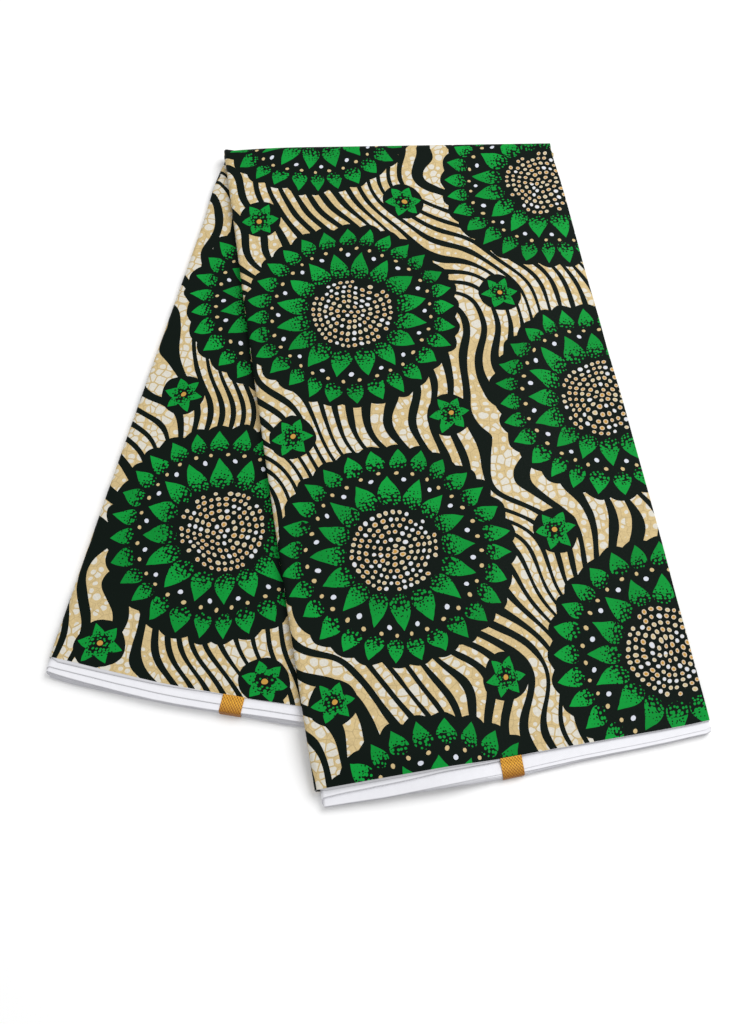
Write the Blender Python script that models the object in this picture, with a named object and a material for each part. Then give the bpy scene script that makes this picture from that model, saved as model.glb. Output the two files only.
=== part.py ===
"""A length of printed cotton, folded leaf on leaf into a strip, folded once more across, and laid flat.

The strip is as long as the cloth is wide, so both of its ends are selvedges. Its left side is one closed
fold, and its right side shows the edges of the folds within. The front leg lies on the back leg and slopes
down to the table beside it. Lengths are in metres, the tables in millimetres.
"""

import math

import bmesh
import bpy
import numpy as np
from mathutils.geometry import tessellate_polygon

# The cloth as it is cut, and how it is folded
CLOTH_LENGTH = 5.49
LEAVES = 18
STRIP_WIDTH = CLOTH_LENGTH / LEAVES
STACK = 0.0085
LEAF = 0.0012
GAP = 0.0003
MM = 0.001

# The fold across runs along X. Each leg leans away from square to it.
FOLD_CORNER_X = -0.1332
FOLD_AXIS_Y = 0.2986
FRONT_LEAN = math.radians(8.2)
BACK_LEAN = math.radians(-13.7)
ROLL = STACK / 2
ROLL_END = math.radians(-60)

# The front leg comes down to the table beyond the back leg's edges
TOP_SLOPE_START, TOP_SLOPE = 0.008, 0.075
UNDER_SLOPE_START, UNDER_SLOPE = 0.028, 0.055
EDGE_BOW = 0.002
CORNER_DRAWN, CORNER_SPAN, CORNER_DEPTH = 0.0035, 0.075, 0.080

# How far each leaf reaches from the fold, in mm, at places across the leg. The print line is where the
# printed cloth ends and its white selvedge begins.
FRONT_COLUMNS = ("across", "print_line", "outer", "upper", "middle", "lower")
FRONT_ENDS = (
    (0, 598.5, 602.2, 606.4, 611.0, 612.4),
    (65, 598.5, 601.6, 605.0, 611.2, 612.4),
    (120, 598.5, 599.5, 600.8, 611.6, 613.4),
    (170, 598.3, 599.3, 600.6, 610.4, 613.2),
    (235, 598.0, 599.0, 600.3, 607.6, 610.4),
    (305, 597.5, 598.5, 599.8, 603.8, 606.8),
)
BACK_COLUMNS = ("across", "print_line", "outer", "upper", "lower")
BACK_ENDS = (
    (0, 502.5, 509.8, 512.6, 513.8),
    (30, 502.6, 510.6, 515.0, 516.4),
    (60, 502.6, 511.2, 516.4, 517.8),
    (120, 501.8, 509.3, 515.0, 516.0),
    (200, 497.0, 504.7, 509.8, 510.6),
    (305, 490.5, 498.0, 502.6, 503.4),
)

# The selvedge leaves that show under the printed leaf: the leaf's column in the table above, and its
# lowest and highest place, in mm, in the leaves under the printed one
SELVEDGE_LEAVES = (
    ("front", "upper", 5.8, 6.9),
    ("front", "middle", 3.7, 5.4),
    ("front", "lower", 0.0, 3.2),
    ("back", "upper", 3.8, 6.9),
    ("back", "lower", 0.0, 3.4),
)

# A selvedge leaf thins to a rounded tip, and to its left end over a short stretch
TIP_THICKNESS = 0.5
LEFT_THICKNESS, LEFT_STRETCH = 0.4, 0.0022

# The bundles of folds that show at the right side, as shares of the stack's height from the top. Each one
# bulges between two shares of its own height, and a groove parts it from the next.
BUNDLES = (0.30, 0.18, 0.30, 0.22)
BULGE = (0.3, 0.7)
GROOVE_DEPTH = 0.0016
GROOVE_SHARE = 0.02
BUNDLE_POINTS = 7

# The hidden folds' points at the left fold, as angles round it in degrees, and where their flat
# underside ends
ROLL_UPPER = (58, 29, 5)
ROLL_LOWER = (-60, -25)
UNDERSIDE_END = STACK / 3

# Woven bands folded over the selvedge
TAB_WIDTH = 0.0164
TAB_THICK = 0.0008
FRONT_TAB_ACROSS = 0.1415
BACK_TAB_ACROSS = 0.1392
TAB_CROWN, TAB_BEND = 0.84, 0.45

# Places along each leg where a section is taken, as shares of its length from the fold, with those along
# a selvedge leaf as shares of its own length, and the steps round the left fold and the fold across
FRONT_ROWS = (
    *(0, 0.03, 0.08, 0.14, 0.2, 0.27, 0.34, 0.42, 0.5, 0.58, 0.66, 0.74),
    *(0.8, 0.84, 0.87, 0.9, 0.92, 0.94, 0.96, 0.98, 1),
)
BACK_ROWS = (0, 0.08, 0.25, 0.45, 0.65, 0.82, 0.94, 1)
SELVEDGE_ROWS = (0, 0.5, 0.94, 1)
ROLL_STEPS = 6
TURN_STEPS = 7

PRINTED = ("printed cotton", (0.03, 0.10, 0.04, 1), 0.72)
WHITE = ("white cotton", (0.88, 0.88, 0.92, 1), 0.85)
GOLD = ("gold twill", (0.69, 0.32, 0.03, 1), 0.55)


def mix(start, end, share):
    return start + (end - start) * share


def smooth(share):
    """0 below 0, 1 above 1, and a soft S between."""
    share = min(1.0, max(0.0, share))
    return share * share * (3 - 2 * share)


class Leg:
    """One half of the strip, from the fold across to its selvedge."""

    def __init__(self, name, lean, columns, ends, bow, steps):
        self.name = name
        self.lean = lean
        self.bow = bow
        self.steps = steps
        table = np.array(ends) * MM
        self.ends = {column: table[:, at] for at, column in enumerate(columns)}

    def reach(self, column, across):
        return float(np.interp(across, self.ends["across"], self.ends[column]))

    def along(self, across, row, column="outer"):
        """Where a section meets the line at this place across, running from the fold to a leaf's edge."""
        return mix(across * math.tan(self.lean), self.reach(column, across), row)

    def place(self, across, along):
        """The place on the table, in X and Y."""
        bowed = self.bow * math.sin(math.pi * min(1.0, max(0.0, along / self.reach("outer", across))))
        across = across - bowed * max(0.0, 1 - across / STRIP_WIDTH)
        x = FOLD_CORNER_X + across * math.cos(self.lean) + along * math.sin(self.lean)
        y = FOLD_AXIS_Y + across * math.sin(self.lean) - along * math.cos(self.lean)
        return x, y

    def past_edges(self, x, y):
        """How far a place lies outside the leg's right side and its lowest leaf, in metres."""
        x, y = x - FOLD_CORNER_X, y - FOLD_AXIS_Y
        across = x * math.cos(self.lean) + y * math.sin(self.lean)
        along = x * math.sin(self.lean) - y * math.cos(self.lean)
        return math.hypot(max(across - STRIP_WIDTH, 0), max(along - self.reach("lower", across), 0))


FRONT = Leg("front", FRONT_LEAN, FRONT_COLUMNS, FRONT_ENDS, bow=EDGE_BOW, steps=20)
BACK = Leg("back", BACK_LEAN, BACK_COLUMNS, BACK_ENDS, bow=0, steps=8)


def heights(leg, across, along):
    """The lowest and highest place of the pressed stack here."""
    if leg is BACK:
        return 0, STACK
    past = BACK.past_edges(*leg.place(across, along))
    held = STACK + GAP
    under = held * smooth(1 - (past - UNDER_SLOPE_START) / UNDER_SLOPE)
    top = held * smooth(1 - (past - TOP_SLOPE_START) / TOP_SLOPE) + STACK - GAP
    return under, top


def drawn(x, y, z):
    """The fold's left corner is drawn a little forward."""
    side = max(0.0, 1 - (x - FOLD_CORNER_X) / CORNER_SPAN) ** 2
    depth = smooth(1 + (y - FOLD_AXIS_Y) / CORNER_DEPTH)
    return x, y - CORNER_DRAWN * min(side, 1) * depth, z


def turned(point, share):
    """A point of the fold's first section, carried round the fold's axis to the underside."""
    x, _, z = point
    from_axis = z - STACK
    narrow = mix(1, math.cos(FRONT_LEAN) / math.cos(BACK_LEAN), share)
    angle = math.pi * share
    x = FOLD_CORNER_X + (x - FOLD_CORNER_X) * narrow
    return x, FOLD_AXIS_Y + from_axis * math.sin(angle), STACK + from_axis * math.cos(angle)


def roll_point(leg, angle, inward, row, column="outer"):
    """A point of the closed left fold, by its angle round the roll and its depth inside the skin."""
    across = ROLL - (ROLL - inward) * math.cos(angle)
    along = leg.along(ROLL, row, column) + (across - ROLL) * math.tan(leg.lean) * (1 - row)
    low, high = heights(leg, ROLL, leg.along(ROLL, row, column))
    height = (low + high) / 2 + ((high - low) / 2 - inward) * math.sin(angle)
    return (*leg.place(across, along), height)


def flat_point(leg, across, row, side, inward=0.0, column="outer"):
    """A point of the stack's flat top or underside, inward from it."""
    along = leg.along(across, row, column)
    under, top = heights(leg, across, along)
    return (*leg.place(across, along), top - inward if side == "top" else under + inward)


def across_places(leg):
    """Places across the flat of the leg, from its right edge to the top of the roll."""
    return [mix(STRIP_WIDTH, ROLL, step / leg.steps) for step in range(leg.steps + 1)]


def skin_line(leg, inward, row):
    """The outer leaf's line at one depth: over the top from the right edge and round the left fold."""
    points = [flat_point(leg, across, row, "top", inward) for across in across_places(leg)]
    for step in range(1, ROLL_STEPS + 1):
        points.append(roll_point(leg, mix(math.pi / 2, ROLL_END, step / ROLL_STEPS), inward, row))
    return points


def folds_lines(leg, row):
    """The hidden folds' upper and lower lines, each from the middle of the right side to the left fold.
    The upper one runs just inside the outer leaf, and the lower one is flat."""
    inward = LEAF + GAP
    column = "outer" if row < 1 else "print_line"
    places = across_places(leg)[1:]
    upper = bundle_points(leg, row, column, BUNDLES[1::-1], 1)
    upper += [flat_point(leg, across, row, "top", inward, column) for across in places]
    upper += [roll_point(leg, math.radians(angle), inward, row, column) for angle in ROLL_UPPER]
    lower = bundle_points(leg, row, column, BUNDLES[2:], -1)
    lower += [flat_point(leg, across, row, "under", 0, column) for across in [*places, UNDERSIDE_END]]
    lower += [roll_point(leg, math.radians(angle), inward, row, column) for angle in ROLL_LOWER]
    return upper, lower


def bundle_points(leg, row, column, shares, way):
    """The right side from its middle up or down, bulging at each bundle and drawn in between them."""
    inner = STRIP_WIDTH - GROOVE_DEPTH
    outer = STRIP_WIDTH - GAP
    under = flat_point(leg, STRIP_WIDTH, row, "under", 0, column)[2]
    top = flat_point(leg, STRIP_WIDTH, row, "top", LEAF + GAP, column)[2]
    level = sum(BUNDLES[2:]) + way * GROOVE_SHARE / 2
    spots = [(inner, level)]
    for share in shares:
        spots += [(outer, level + way * bulge * share) for bulge in BULGE]
        level += way * share
        spots.append((inner, level - way * GROOVE_SHARE))
    return [
        (*leg.place(across, leg.along(across, row, column)), mix(under, top, rise)) for across, rise in spots
    ]


def finish(name, mesh, look):
    """Makes one sub-part's object from its finished mesh, with its faces pointing out."""
    bmesh.ops.recalc_face_normals(mesh, faces=mesh.faces)
    if mesh.calc_volume(signed=True) < 0:
        bmesh.ops.reverse_faces(mesh, faces=mesh.faces)
    data = bpy.data.meshes.new(name)
    mesh.to_mesh(data)
    mesh.free()
    data.shade_smooth()
    data.set_sharp_from_angle(angle=math.radians(40))
    label, colour, roughness = look
    material = bpy.data.materials.get(label) or bpy.data.materials.new(label)
    material.use_nodes = True
    shader = material.node_tree.nodes["Principled BSDF"]
    shader.inputs["Base Color"].default_value = colour
    shader.inputs["Roughness"].default_value = roughness
    data.materials.append(material)
    piece = bpy.data.objects.new(name, data)
    bpy.context.collection.objects.link(piece)
    return piece


def bridge(mesh, line, after):
    """Triangles between two lines of points, all split along the same diagonal."""
    for at in range(len(line) - 1):
        mesh.faces.new((line[at], line[at + 1], after[at + 1]))
        mesh.faces.new((line[at], after[at + 1], after[at]))


def close_end(mesh, over, below, bulging):
    """Closes one end of a solid: a fill of the outline's bulging part, and a strip for the rest."""
    bridge(mesh, over[bulging:], below[bulging:])
    if bulging:
        outline = over[: bulging + 1] + below[bulging::-1]
        for corners in tessellate_polygon([[(point.co.x, point.co.z, 0) for point in outline]]):
            mesh.faces.new([outline[at] for at in corners])


def walled(name, outer, inner, look, bulging=0):
    """A closed solid between two grids of points: an outer and an inner line at each section."""
    mesh = bmesh.new()
    over = [[mesh.verts.new(drawn(*point)) for point in line] for line in outer]
    below = [[mesh.verts.new(drawn(*point)) for point in line] for line in inner]
    for grid in (over, below):
        for line, after in zip(grid, grid[1:]):
            bridge(mesh, line, after)
    for end in (0, -1):
        close_end(mesh, over[end], below[end], bulging)
        bridge(mesh, [line[end] for line in over], [line[end] for line in below])
    return finish(name, mesh, look)


def round_the_fold(line):
    """The first section's line, carried round the fold across, from the underside up."""
    return [[turned(point, step / TURN_STEPS) for point in line] for step in range(TURN_STEPS, 0, -1)]


def make_front_leaf():
    """The printed leaf on top of the front leg, round its left fold and over the fold across."""
    grids = []
    for inward in (0, LEAF):
        lines = [skin_line(FRONT, inward, row) for row in FRONT_ROWS]
        grids.append(round_the_fold(lines[0]) + lines)
    walled("front_leaf", *grids, PRINTED)


def make_back_leaf():
    """The printed leaf on top of the back leg and round its left fold."""
    grids = []
    for inward in (0, LEAF):
        lines = [skin_line(BACK, inward, row) for row in BACK_ROWS]
        grids.append([clear_of_fold(lines[0])] + lines[1:])
    walled("back_leaf", *grids, PRINTED)


def clear_of_fold(line):
    """The back leg's first line, just clear of the front leg's end under the fold."""
    return [(x, y - GAP, z) for x, y, z in line]


def make_front_folds():
    """The hidden leaves of the front leg and of the fold across."""
    upper, lower = zip(*[folds_lines(FRONT, row) for row in FRONT_ROWS])
    grids = [round_the_fold(lines[0]) + list(lines) for lines in (upper, lower)]
    walled("front_folds", *grids, WHITE, BUNDLE_POINTS)


def make_back_folds():
    """The hidden leaves of the back leg, which carry the whole on their flat underside."""
    upper, lower = zip(*[folds_lines(BACK, row) for row in BACK_ROWS])
    grids = [[clear_of_fold(lines[0])] + list(lines[1:]) for lines in (upper, lower)]
    walled("back_folds", *grids, WHITE, BUNDLE_POINTS)


def make_selvedge(leg, column, low, high):
    """One white leaf's end, from the hidden folds' end to a thin rounded tip."""
    grids = ([], [])
    for share in SELVEDGE_ROWS:
        upper, lower = selvedge_lines(leg, column, low * MM, high * MM, share)
        grids[0].append(upper)
        grids[1].append(lower)
    walled(f"{leg.name}_selvedge_{column}", *grids, WHITE)


def selvedge_lines(leg, column, low, high, share):
    """The leaf's upper and lower lines across the leg, at a share of the way to its tip."""
    radius = ROLL - LEAF - GAP
    left = max(ROLL - math.sqrt(max(radius**2 - (height - STACK / 2) ** 2, 0)) for height in (low, high))
    middle = (low + high) / 2
    half = (high - low) / 2 * (1 if share < 1 else TIP_THICKNESS)
    upper, lower = [], []
    for across in [STRIP_WIDTH - GROOVE_DEPTH, *across_places(leg)[1:-1], left + LEFT_STRETCH, left]:
        start = leg.reach("print_line", across) + GAP
        along = mix(start, leg.reach(column, across), share)
        x, y = leg.place(across, along)
        under, top = heights(leg, across, along)
        pressed = (top - under - LEAF - GAP) / (STACK - LEAF - GAP)
        edge = LEFT_THICKNESS if across == left else 1
        upper.append((x, y, under + (middle + half * edge) * pressed))
        lower.append((x, y, under + (middle - half * edge) * pressed))
    return upper, lower


def make_tab(leg, across):
    """A woven band from the print line over the stepped leaves and down their ends."""
    lines = [tab_lines(leg, across + TAB_WIDTH * step / 2) for step in range(3)]
    over, below = zip(*lines)
    walled(f"{leg.name}_tab", over, below, GOLD)


def tab_lines(leg, across):
    """The band's outer and inner lines, along the leg."""
    print_line = leg.reach("print_line", across)
    tip = leg.reach("lower", across) + GAP
    crown = leg.reach("middle" if leg is FRONT else "upper", across)
    under, top = heights(leg, across, print_line)
    line = (
        (print_line, top + GAP),
        (leg.reach("outer", across) + GAP, top + GAP),
        (crown, mix(under, top, TAB_CROWN) + GAP),
        (tip, mix(under, top, TAB_BEND)),
        (tip, under + GAP),
    )
    outwards = ((0, 1), (0.4, 1), (1, 0.7), (1, 0), (1, 0))
    below = [(*leg.place(across, along), height) for along, height in line]
    above = [
        (*leg.place(across, along + out * TAB_THICK), height + up * TAB_THICK)
        for (along, height), (out, up) in zip(line, outwards)
    ]
    return above, below


def main():
    for item in list(bpy.data.objects):
        bpy.data.objects.remove(item)
    make_back_folds()
    make_back_leaf()
    make_front_folds()
    make_front_leaf()
    for leg_name, column, low, high in SELVEDGE_LEAVES:
        make_selvedge(FRONT if leg_name == "front" else BACK, column, low, high)
    make_tab(FRONT, FRONT_TAB_ACROSS)
    make_tab(BACK, BACK_TAB_ACROSS)


main()
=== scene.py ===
"""Ankara fabric: a length of printed cotton, folded leaf on leaf into a strip, folded once more across and
laid flat, with its white selvedges and two woven bands at the ends.

Lengths are in metres and the tables in millimetres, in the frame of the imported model.
"""

import math
from functools import partial

import bmesh
import bpy
import numpy as np
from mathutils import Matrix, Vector


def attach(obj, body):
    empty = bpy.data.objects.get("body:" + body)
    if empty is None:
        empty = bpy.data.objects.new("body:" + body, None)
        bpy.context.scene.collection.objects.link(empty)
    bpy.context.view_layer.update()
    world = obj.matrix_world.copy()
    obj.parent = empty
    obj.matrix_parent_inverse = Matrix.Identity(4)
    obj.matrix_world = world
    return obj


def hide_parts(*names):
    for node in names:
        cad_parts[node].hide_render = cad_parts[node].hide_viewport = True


bl_info = {
    "name": "Folded Ankara Fabric",
    "version": (1, 0, 0),
    "blender": (4, 5, 0),
    "location": "3D View > Sidebar > Ankara Fabric",
    "description": "Dresses the folded printed cotton: its leaves, folds, selvedges, woven bands and stage",
    "category": "Add Mesh",
}

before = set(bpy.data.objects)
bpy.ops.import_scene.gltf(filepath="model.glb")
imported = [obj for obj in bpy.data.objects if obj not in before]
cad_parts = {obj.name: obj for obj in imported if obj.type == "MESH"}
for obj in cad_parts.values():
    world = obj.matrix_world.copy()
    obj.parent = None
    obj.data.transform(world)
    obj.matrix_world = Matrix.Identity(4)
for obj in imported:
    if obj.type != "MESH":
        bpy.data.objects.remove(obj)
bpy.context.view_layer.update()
MM = 0.001

# The strip and its fold across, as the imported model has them
STRIP_WIDTH = 0.305
STACK = 0.0085
CLEAR = 0.0003
FOLD_CORNER_X = -0.1332
FOLD_AXIS_Y = 0.2986
FRONT_LEAN = math.radians(8.2)
BACK_LEAN = math.radians(-13.7)
ROLL = STACK / 2
TOP_SLOPE_START, TOP_SLOPE = 0.006, 0.060
UNDER_SLOPE_START, UNDER_SLOPE = 0.004, 0.052
# How far each leg's left and right sides bow out at mid length, and come in at the open end
FRONT_BOWS, FRONT_TAPERS = (0.0020, 0.0037), (0.0013, 0.0025)
BACK_BOWS, BACK_TAPERS = (0.0006, 0), (0, 0)
# How far the fold's left corner is drawn forward, and how far that reaches along the fold and the leg
CORNER_DRAWN, CORNER_SPAN, CORNER_DEPTH = 0.0035, 0.075, 0.080
# How far the printed leaf turns in under the strip's right and left sides
UNDER_RIGHT, UNDER_LEFT = 0.004, 0.003
# Rows of points along each leg
LEG_ROWS = 112
# Where across the leg the cut lengths of the printed leaf and the folds are taken
PRINT_LENGTH_AT, FOLDS_LENGTH_AT = 0.1, 0.15
# How far apart the leaves lie on the unfolded cloth
CLOTH_STEP = 0.31

# How far the leaves reach from the fold, in mm, at places across each leg
FRONT_COLUMNS = ("across", "print_line", "border", "upper", "middle", "lower")
FRONT_ENDS = (
    (0, 600.2, 601.8, 607.0, 612.5, 612.9),
    (22, 600.2, 601.7, 605.6, 612.9, 613.3),
    (47, 600.2, 601.7, 605.1, 613.7, 614.0),
    (77, 600.3, 601.8, 604.3, 613.2, 613.9),
    (94, 600.3, 601.4, 603.4, 612.8, 614.3),
    (110, 600.2, 601.1, 602.9, 612.1, 614.6),
    (125, 600.3, 600.8, 602.1, 611.3, 614.2),
    (140, 600.1, 600.4, 601.6, 610.8, 613.7),
    (170, 599.1, 599.1, 600.6, 608.7, 611.2),
    (200, 598.8, 598.8, 600.3, 607.1, 609.9),
    (235, 598.5, 598.5, 600.0, 606.1, 608.7),
    (265, 598.3, 598.3, 599.8, 605.2, 607.7),
    (290, 597.8, 597.8, 599.3, 603.8, 606.7),
    (305, 596.9, 596.9, 598.4, 603.1, 605.8),
)
BACK_COLUMNS = ("across", "print_line", "border", "upper_margin", "upper", "lower")
BACK_ENDS = (
    (0, 502.4, 505.2, 509.7, 513.2, 515.4),
    (12, 502.4, 505.2, 510.4, 514.6, 517.1),
    (24, 502.6, 505.4, 510.5, 515.2, 517.9),
    (37, 503.0, 505.7, 510.7, 515.7, 518.3),
    (60, 503.2, 505.7, 511.6, 516.6, 517.9),
    (84, 503.6, 505.5, 511.8, 517.2, 517.4),
    (107, 503.1, 504.4, 511.3, 516.7, 516.9),
    (131, 501.9, 502.5, 510.1, 515.1, 515.5),
    (162, 500.7, 500.7, 507.9, 512.2, 513.7),
    (190, 498.5, 498.5, 506.0, 510.2, 512.7),
    (230, 495.9, 495.9, 503.3, 507.4, 509.9),
    (305, 490.9, 490.9, 498.3, 502.4, 504.9),
)

# Pairs of selvedge leaves joined by a fold at the right, from the third leaf of the stack down: the group
# that they are in, the column above that both follow, and how far past it, in mm, the upper leaf and the
# lower one reach at the four places
PAST_PLACES = {"front": (60, 125, 170, 240), "back": (30, 85, 130, 190)}
SELVEDGE_PAIRS = {
    "front": (
        ("upper", "upper", (-0.2, -0.2, -0.2, -0.2), (-0.7, -0.7, -0.7, -0.7)),
        ("middle", "middle", (0, 0, 0, 0), (-0.3, 0.8, 2.3, 2.7)),
        ("middle", "middle", (0.1, 1.5, 2.4, 2.7), (-0.3, 1.3, 2.6, 2.6)),
        ("lower", "middle", (0.2, 2.4, 3.4, 2.9), (-0.2, 2.2, 3.2, 2.7)),
        ("lower", "middle", (0.1, 2.8, 3.8, 2.9), (-0.4, 2.5, 3.5, 2.7)),
        ("lower", "middle", (0.0, 2.7, 4.0, 2.9), (-0.6, 2.3, 3.7, 2.7)),
        ("lower", "middle", (-0.3, 2.4, 3.8, 2.9), (-0.8, 1.9, 3.4, 2.7)),
        ("lower", "middle", (-0.6, 1.9, 3.5, 2.8), (-1.2, 1.5, 3.2, 2.5)),
    ),
    "back": (
        ("upper", "upper", (0, 0, 0, 0), (-0.5, -0.5, -0.5, -0.5)),
        ("upper", "upper", (0.3, 0, 0, 0.2), (-0.3, -0.3, -0.3, 0)),
        ("upper", "upper", (0.9, 0, 0, 0.7), (0.4, -0.2, -0.2, 0.5)),
        ("lower", "upper", (1.5, 0.1, 0.2, 1.4), (1.1, -0.1, 0, 1.1)),
        ("lower", "upper", (2.0, 0.1, 0.4, 2.0), (1.7, 0, 0.2, 1.7)),
        ("lower", "upper", (2.4, 0.2, 0.5, 2.4), (2.1, 0, 0.3, 2.2)),
        ("lower", "upper", (2.7, 0.1, 0.4, 2.6), (2.3, -0.1, 0.2, 2.3)),
        ("lower", "upper", (2.4, 0, 0.2, 2.3), (2.0, -0.2, 0, 2.0)),
    ),
}
LEAVES_IN_STACK = 18
PITCH = STACK / LEAVES_IN_STACK

# The nested folds at the left of the white ends: where across the leg they turn, how wide the widest is, and
# down to which leaf of the stack they are drawn
NEST_CENTRE = {"front": 0.0068, "back": 0.0044}
NEST_WIDTH = {"front": 0.0027, "back": 0.0038}
NESTED_LEAVES = 8

# Painted shade: how grey the bare cotton is painted beside the print's step, at the left and right of each
# leg, and how far that reaches in mm; then how grey the painted shadow is along the ends of the first, second
# and other leaves, where each leaf shades the one below
PAINTED_SHADE_BESIDE_PRINT = {"front": ((0.50, 0.25), (4.6, 1.5)), "back": ((0.32, 0.25), (3.5, 2.0))}
PAINTED_SHADOW_AT_EDGES = {"front": (0.38, 0.0, 0.28), "back": (0.48, 0.32, 0.22)}

# The front leg's uppermost white leaves run out under the print: from where across the leg, over what
# length, down to which leaf of the stack, and how much of each is left
RUN_OUT_START, RUN_OUT = 0.125, 0.040
RUN_OUT_LEAVES, SLIVER = 4, 0.00008
# The rounded right corner of each white leaf
CORNER_RADIUS = 0.0022
# Of the white end under the print and of a pair: its rows of points, how far it starts under the print, and
# how far short of the lowest leaf its turned-down left side ends
MARGIN_END = ((0, 0.4, 0.6, 0.75, 0.95, 1), 0.009, 0.0012)
PAIR_END = ((0, 0.3, 0.6, 0.8, 0.95, 1), 0, 0.0006)
# The least depth of the cut worked out for a group of white ends
LEAST_DEPTH = 0.0101

# Seeds of the uneven lines at the printed leaf's side, the margin's end, the ridges of the folds and the
# ends of the pairs
SEEDS = {
    "front": {"side": 11, "margin": 31, "ridges": 40, "pairs": 100},
    "back": {"side": 12, "margin": 32, "ridges": 60, "pairs": 150},
}

# The print, in mm: each ring of petals with their number, start, end and width; each ring of dots with
# their colour, number, place and radius; the centre's dots with their distance, rings and radius, and
# where each of their colours starts among their random numbers from 0 to 1
OUTER_PETALS = 28
HEAD_PETALS = ((16, 38.0, 65.0, 16.6), (OUTER_PETALS, 71.0, 91.5, 14.4))
HEAD_DOTS = (("dot_cool", 16, 62.0, 1.9), ("ground", 32, 68.2, 1.6))
HEAD_RADIUS = 92.5
CENTRE_DOTS = (5.6, 6.8, 1.55)
CENTRE_TINTS = ((0.0, "dot_gold"), (0.5, "ground"), (0.8, "dot_cool"))
SMALL_PETALS = (6, 3.0, 17.0, 11.0)
SMALL_DISC, SMALL_EYE = 19.0, 2.3
LINES_APART = 13
# This cloth's threads lie 0.28 mm apart, under a third of a pixel, so the weave is drawn at 0.9 mm
THREAD_PITCH = 0.9
# The bands' ribs cross at this slope, 52 degrees, and the bands turn down here, in mm from the print, where
# painted shade darkens them towards brown
RIB_STEEPNESS = 1.27
TURN_DOWN = (6.0, 15.0)

# The woven bands' width, and how far across each leg they start
TAB_WIDTH = 0.0168
TAB_ACROSS = {"front": 0.1407, "back": 0.1400}

# The small tip at the fold's left corner: its place, how far the pinch reaches, and how far it pulls
TIP = (-0.1334, 0.3040, 0.0125)
TIP_REACH = (0.009, 0.009, 0.010)
TIP_PULL = (-0.0034, 0.0048, 0.0004)

# Just below the fold across, the back leg's left side swings out: where, over what length and how far; how
# far in from the side that reaches, up to what height, and how high up it fades
SWING_Y, SWING_SPAN, SWING = 0.272, 0.032, 0.0028
SWING_IN, SWING_TOP, SWING_FADE = 0.03, 0.0065, 0.004

# Broad soft swells of the pressed cloth: how far below the fold across they start, and over what length
# they rise; then each one's place in X and Y, half-length, half-width, turn in degrees and height in mm
SWELLS_START, SWELLS_RISE = 0.004, 0.03
SWELLS = (
    (-0.060, 0.190, 0.110, 0.030, 65, 0.30),
    (0.055, 0.120, 0.150, 0.026, 20, -0.32),
    (0.090, -0.020, 0.120, 0.040, -35, 0.34),
    (-0.020, -0.110, 0.140, 0.024, 12, -0.30),
    (0.150, -0.170, 0.100, 0.030, 50, 0.30),
    (0.030, -0.240, 0.120, 0.022, -8, 0.22),
    (0.165, 0.060, 0.090, 0.022, 80, -0.28),
    (-0.190, -0.060, 0.110, 0.030, 75, 0.26),
    (-0.120, -0.170, 0.120, 0.024, -20, -0.28),
    (-0.205, -0.190, 0.060, 0.020, 30, 0.20),
)


def mix(start, end, share):
    return start + (end - start) * share


def smooth(share):
    """0 below 0, 1 above 1, and a soft S between."""
    share = np.clip(share, 0, 1)
    return share * share * (3 - 2 * share)


def wander(places, seed, step):
    """A smooth uneven line between -1 and 1, with a new level about every step along the places."""
    knots = np.random.default_rng(seed).uniform(-1, 1, 400)
    at = places / step + 200
    low = np.floor(at).astype(int)
    return mix(knots[low % 400], knots[(low + 1) % 400], smooth(at - low))


class Leg:
    """One half of the strip, from the fold across to its selvedge."""

    def __init__(self, name, lean, columns, ends, bows, tapers):
        self.name = name
        # The two legs lie opposite ways on the unfolded cloth
        self.way = 1 if name == "front" else -1
        self.lean = lean
        self.bows = bows
        self.tapers = tapers
        table = np.array(ends) * MM
        self.across = np.linspace(0, STRIP_WIDTH, 123)
        self.ends = {column: self.eased(table[:, 0], table[:, at]) for at, column in enumerate(columns)}

    def eased(self, places, values):
        """The table's values along the leg's end, rounded where they change."""
        padded = np.pad(np.interp(self.across, places, values), 2, mode="reflect", reflect_type="odd")
        return np.convolve(padded, np.ones(5) / 5, "valid")

    def reach(self, column, across):
        return np.interp(across, self.across, self.ends[column])

    def start(self, across):
        """Where the fold across lies, along the leg."""
        return across * math.tan(self.lean)

    def place(self, across, along):
        """The place on the table, in X and Y."""
        share = np.clip(along / self.reach("border", across), 0, 1)
        sides = zip(self.bows, self.tapers)
        left, right = (bow * np.sin(math.pi * share) - taper * share for bow, taper in sides)
        across = across + mix(-left, right, across / STRIP_WIDTH)
        x = FOLD_CORNER_X + across * math.cos(self.lean) + along * math.sin(self.lean)
        y = FOLD_AXIS_Y + across * math.sin(self.lean) - along * math.cos(self.lean)
        return x, y

    def past_edges(self, x, y):
        """How far a place lies outside the leg's right side and its lowest leaf."""
        x, y = x - FOLD_CORNER_X, y - FOLD_AXIS_Y
        across = x * math.cos(self.lean) + y * math.sin(self.lean)
        along = x * math.sin(self.lean) - y * math.cos(self.lean)
        beyond = along - self.reach("lower", across)
        return np.hypot(np.maximum(across - STRIP_WIDTH, 0), np.maximum(beyond, 0))

    def heights(self, across, along):
        """The lowest and highest place of the pressed stack."""
        if self.name == "back":
            return 0, STACK
        past = BACK.past_edges(*self.place(across, along))
        held = STACK + CLEAR
        under = held * smooth(1 - (past - UNDER_SLOPE_START) / UNDER_SLOPE)
        top = held * smooth(1 - (past - TOP_SLOPE_START) / TOP_SLOPE) + STACK - CLEAR
        return under, top


FRONT = Leg("front", FRONT_LEAN, FRONT_COLUMNS, FRONT_ENDS, FRONT_BOWS, FRONT_TAPERS)
BACK = Leg("back", BACK_LEAN, BACK_COLUMNS, BACK_ENDS, BACK_BOWS, BACK_TAPERS)
LEGS = (FRONT, BACK)


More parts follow.
